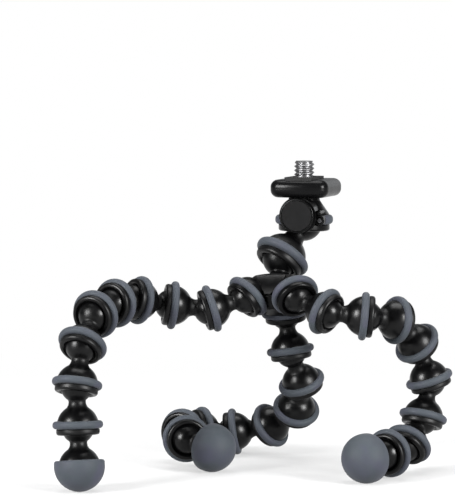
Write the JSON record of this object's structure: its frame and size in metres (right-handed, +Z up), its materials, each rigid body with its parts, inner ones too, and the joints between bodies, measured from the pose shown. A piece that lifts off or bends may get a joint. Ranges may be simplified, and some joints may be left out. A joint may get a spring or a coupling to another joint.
{
  "type": "flexible leg tripod",
  "caption": "Small table tripod with three bendable ball-and-socket legs, rubber grip rings and feet, a ball-jointed head and a quick-release clip with a camera screw.",
  "frame": {"origin": "centre of the bounding box on the surface that the tripod stands on", "axes": "+Z up and along the camera screw; -Y the way the release button faces; +X towards the right leg, to the right of a viewer who faces the button"},
  "size_m": [0.1054, 0.1002, 0.0958],
  "materials": {
    "black_plastic": "satin moulded black plastic with soft highlights",
    "gloss_black_plastic": "smooth, fairly glossy black plastic",
    "button_plastic": "fine matte charcoal plastic",
    "grey_rubber": "soft matte blue-grey rubber",
    "black_rubber": "matte black rubber",
    "steel": "plain turned steel",
    "dark_steel": "dark oxidised steel"
  },
  "bodies": {
    "hub": {"hub_body": "black_plastic", "hub_grip_rings": "grey_rubber"},
    "leg_a_link_1": {"leg_a_link_1": "black_plastic"},
    "leg_a_link_2": {"leg_a_link_2": "black_plastic"},
    "leg_a_link_3": {"leg_a_link_3": "black_plastic"},
    "leg_a_link_4": {"leg_a_link_4": "black_plastic"},
    "leg_a_link_5": {"leg_a_link_5": "black_plastic"},
    "leg_a_link_6": {"leg_a_link_6": "black_plastic"},
    "leg_a_link_7": {"leg_a_link_7": "black_plastic"},
    "leg_a_link_8": {"leg_a_link_8": "black_plastic"},
    "leg_a_foot": {"leg_a_foot_link": "black_plastic", "leg_a_foot_cap": "grey_rubber"},
    "leg_b_link_1": {"leg_b_link_1": "black_plastic"},
    "leg_b_link_2": {"leg_b_link_2": "black_plastic"},
    "leg_b_link_3": {"leg_b_link_3": "black_plastic"},
    "leg_b_link_4": {"leg_b_link_4": "black_plastic"},
    "leg_b_link_5": {"leg_b_link_5": "black_plastic"},
    "leg_b_link_6": {"leg_b_link_6": "black_plastic"},
    "leg_b_link_7": {"leg_b_link_7": "black_plastic"},
    "leg_b_link_8": {"leg_b_link_8": "black_plastic"},
    "leg_b_foot": {"leg_b_foot_link": "black_plastic", "leg_b_foot_cap": "grey_rubber"},
    "leg_c_link_1": {"leg_c_link_1": "black_plastic"},
    "leg_c_link_2": {"leg_c_link_2": "black_plastic"},
    "leg_c_link_3": {"leg_c_link_3": "black_plastic"},
    "leg_c_link_4": {"leg_c_link_4": "black_plastic"},
    "leg_c_link_5": {"leg_c_link_5": "black_plastic"},
    "leg_c_link_6": {"leg_c_link_6": "black_plastic"},
    "leg_c_link_7": {"leg_c_link_7": "black_plastic"},
    "leg_c_link_8": {"leg_c_link_8": "black_plastic"},
    "leg_c_foot": {"leg_c_foot_link": "black_plastic", "leg_c_foot_cap": "grey_rubber"},
    "neck": {"neck_link": "black_plastic", "neck_grip_ring": "grey_rubber"},
    "head": {"head_body": "black_plastic", "head_grip_ring": "grey_rubber", "button_spring": "steel", "lock_pin": "dark_steel"},
    "button": {"release_button": "button_plastic"},
    "clip": {"clip_plate": "gloss_black_plastic", "clip_pad": "black_rubber"},
    "screw": {"camera_screw": "steel"}
  },
  "joints": [
    {"name": "hub_ball", "type": "hinge", "parent": "hub", "child": "neck", "pos_m": [-0.00094, 0.02574, 0.0652], "axis": [-0.3476, 0.831, -0.4343], "range_deg": [-60.1, 11.9]},
    {"name": "head_ball", "type": "hinge", "parent": "neck", "child": "head", "pos_m": [0.00441, 0.03375, 0.07622], "axis": [-0.831, 0.5562, 0], "range_deg": [-1, 83.2]},
    {"name": "button_press", "type": "slide", "parent": "head", "child": "button", "axis": [0, 1, 0], "range_m": [0, 0.0008], "stiffness_N_per_m": 600, "springref_m": -0.001},
    {"name": "clip_slide", "type": "slide", "parent": "head", "child": "clip", "axis": [0, -1, 0], "range_m": [0, 0.016]},
    {"name": "screw_turn", "type": "hinge", "parent": "clip", "child": "screw", "pos_m": [0.00441, 0.03375, 0.08822], "axis": [0, 0, 1], "continuous": true},
    {"name": "leg_a_joint_1", "type": "hinge", "parent": "hub", "child": "leg_a_link_1", "pos_m": [-0.00918, 0.01518, 0.05347], "axis": [0.1557, -0.7678, 0.6214], "range_deg": [-7.5, 67.9]},
    {"name": "leg_a_joint_2", "type": "hinge", "parent": "leg_a_link_1", "child": "leg_a_link_2", "pos_m": [-0.01979, 0.01024, 0.05003], "axis": [-0.4055, 0.9123, -0.058], "range_deg": [-61.4, 14.6]},
    {"name": "leg_a_joint_3", "type": "hinge", "parent": "leg_a_link_2", "child": "leg_a_link_3", "pos_m": [-0.03089, 0.0054, 0.05151], "axis": [-0.0459, -0.1947, -0.9798], "range_deg": [-11.9, 64.1]},
    {"name": "leg_a_joint_4", "type": "hinge", "parent": "leg_a_link_3", "child": "leg_a_link_4", "pos_m": [-0.03864, -0.00376, 0.0537], "axis": [0.4153, -0.1367, 0.8994], "range_deg": [-63.9, 12.1]},
    {"name": "leg_a_joint_5", "type": "hinge", "parent": "leg_a_link_4", "child": "leg_a_link_5", "pos_m": [-0.04214, -0.01545, 0.05353], "axis": [-0.8252, 0.2539, -0.5046], "range_deg": [-24.8, 51.2]},
    {"name": "leg_a_joint_6", "type": "hinge", "parent": "leg_a_link_5", "child": "leg_a_link_6", "pos_m": [-0.04419, -0.0272, 0.05098], "axis": [0.9763, -0.1921, 0.0997], "range_deg": [-70.1, 5.9]},
    {"name": "leg_a_joint_7", "type": "hinge", "parent": "leg_a_link_6", "child": "leg_a_link_7", "pos_m": [-0.04504, -0.03593, 0.0425], "axis": [-0.9921, 0.1229, -0.0269], "range_deg": [-10.6, 65.5]},
    {"name": "leg_a_joint_8", "type": "hinge", "parent": "leg_a_link_7", "child": "leg_a_link_8", "pos_m": [-0.04521, -0.03981, 0.03093], "axis": [0.9523, -0.2931, 0.0846], "range_deg": [-51.8, 24.2]},
    {"name": "leg_a_joint_9", "type": "hinge", "parent": "leg_a_link_8", "child": "leg_a_foot", "pos_m": [-0.04448, -0.04095, 0.01881], "axis": [0.8235, 0.5673, -0.004], "range_deg": [-34.9, 41.1]},
    {"name": "leg_b_joint_1", "type": "hinge", "parent": "hub", "child": "leg_b_link_1", "pos_m": [0.0001, 0.02721, 0.04748], "axis": [-0.8707, -0.4738, -0.1321], "range_deg": [-46.9, 28.4]},
    {"name": "leg_b_joint_2", "type": "hinge", "parent": "leg_b_link_1", "child": "leg_b_link_2", "pos_m": [0.00185, 0.02736, 0.03541], "axis": [-0.9801, 0.1404, -0.1401], "range_deg": [-12.2, 54]},
    {"name": "leg_b_joint_3", "type": "hinge", "parent": "leg_b_link_2", "child": "leg_b_link_3", "pos_m": [0.00415, 0.03276, 0.02472], "axis": [0.2708, 0.8348, 0.4793], "range_deg": [-68.8, 7.2]},
    {"name": "leg_b_joint_4", "type": "hinge", "parent": "leg_b_link_3", "child": "leg_b_link_4", "pos_m": [0.00022, 0.03944, 0.01529], "axis": [0.0701, -0.7996, -0.5965], "range_deg": [-1.9, 74]},
    {"name": "leg_b_joint_5", "type": "hinge", "parent": "leg_b_link_4", "child": "leg_b_link_5", "pos_m": [-0.00973, 0.04307, 0.00925], "axis": [-0.2492, 0.5919, 0.7665], "range_deg": [-74.1, 1.9]},
    {"name": "leg_b_joint_6", "type": "hinge", "parent": "leg_b_link_5", "child": "leg_b_link_6", "pos_m": [-0.02152, 0.04063, 0.00731], "axis": [0.2275, -0.3866, -0.8938], "range_deg": [-1.9, 74.1]},
    {"name": "leg_b_joint_7", "type": "hinge", "parent": "leg_b_link_6", "child": "leg_b_link_7", "pos_m": [-0.0302, 0.03217, 0.00876], "axis": [0.1247, 0.0417, 0.9913], "range_deg": [-74.1, 1.9]},
    {"name": "leg_b_joint_8", "type": "hinge", "parent": "leg_b_link_7", "child": "leg_b_link_8", "pos_m": [-0.03224, 0.02017, 0.00952], "axis": [-0.1519, -0.0368, -0.9877], "range_deg": [-1.9, 74.1]},
    {"name": "leg_b_joint_9", "type": "hinge", "parent": "leg_b_link_8", "child": "leg_b_foot", "pos_m": [-0.0269, 0.00921, 0.0091], "axis": [0.1784, 0.0499, 0.9827], "range_deg": [-74, 2]},
    {"name": "leg_c_joint_1", "type": "hinge", "parent": "hub", "child": "leg_c_link_1", "pos_m": [0.00709, 0.01414, 0.05435], "axis": [-0.1509, 0.5632, -0.8124], "range_deg": [-3.1, 58]},
    {"name": "leg_c_joint_2", "type": "hinge", "parent": "leg_c_link_1", "child": "leg_c_link_2", "pos_m": [0.01801, 0.01084, 0.05003], "axis": [0.2135, -0.4367, 0.8739], "range_deg": [-66, 3.1]},
    {"name": "leg_c_joint_3", "type": "hinge", "parent": "leg_c_link_2", "child": "leg_c_link_3", "pos_m": [0.0297, 0.01411, 0.04881], "axis": [-0.0617, -0.1473, -0.9872], "range_deg": [-4.5, 71.5]},
    {"name": "leg_c_joint_4", "type": "hinge", "parent": "leg_c_link_3", "child": "leg_c_link_4", "pos_m": [0.03756, 0.02326, 0.04695], "axis": [-0.7191, 0.6611, 0.2141], "range_deg": [-72.8, 3.1]},
    {"name": "leg_c_joint_5", "type": "hinge", "parent": "leg_c_link_4", "child": "leg_c_link_5", "pos_m": [0.04219, 0.03097, 0.0387], "axis": [0.9233, -0.3063, 0.2318], "range_deg": [-4.9, 71.1]},
    {"name": "leg_c_joint_6", "type": "hinge", "parent": "leg_c_link_5", "child": "leg_c_link_6", "pos_m": [0.04566, 0.03268, 0.02713], "axis": [-0.7624, 0.6328, -0.1351], "range_deg": [-74, 2]},
    {"name": "leg_c_joint_7", "type": "hinge", "parent": "leg_c_link_6", "child": "leg_c_link_7", "pos_m": [0.0443, 0.02861, 0.01572], "axis": [0.9664, -0.2558, -0.0238], "range_deg": [-3.8, 72.2]},
    {"name": "leg_c_joint_8", "type": "hinge", "parent": "leg_c_link_7", "child": "leg_c_link_8", "pos_m": [0.04159, 0.01901, 0.00868], "axis": [-0.9573, 0.288, -0.0236], "range_deg": [-68.4, 7.6]},
    {"name": "leg_c_joint_9", "type": "hinge", "parent": "leg_c_link_8", "child": "leg_c_foot", "pos_m": [0.03811, 0.00737, 0.00766], "axis": [0.6551, -0.258, 0.7101], "range_deg": [-31.8, 44.2]}
  ]
}
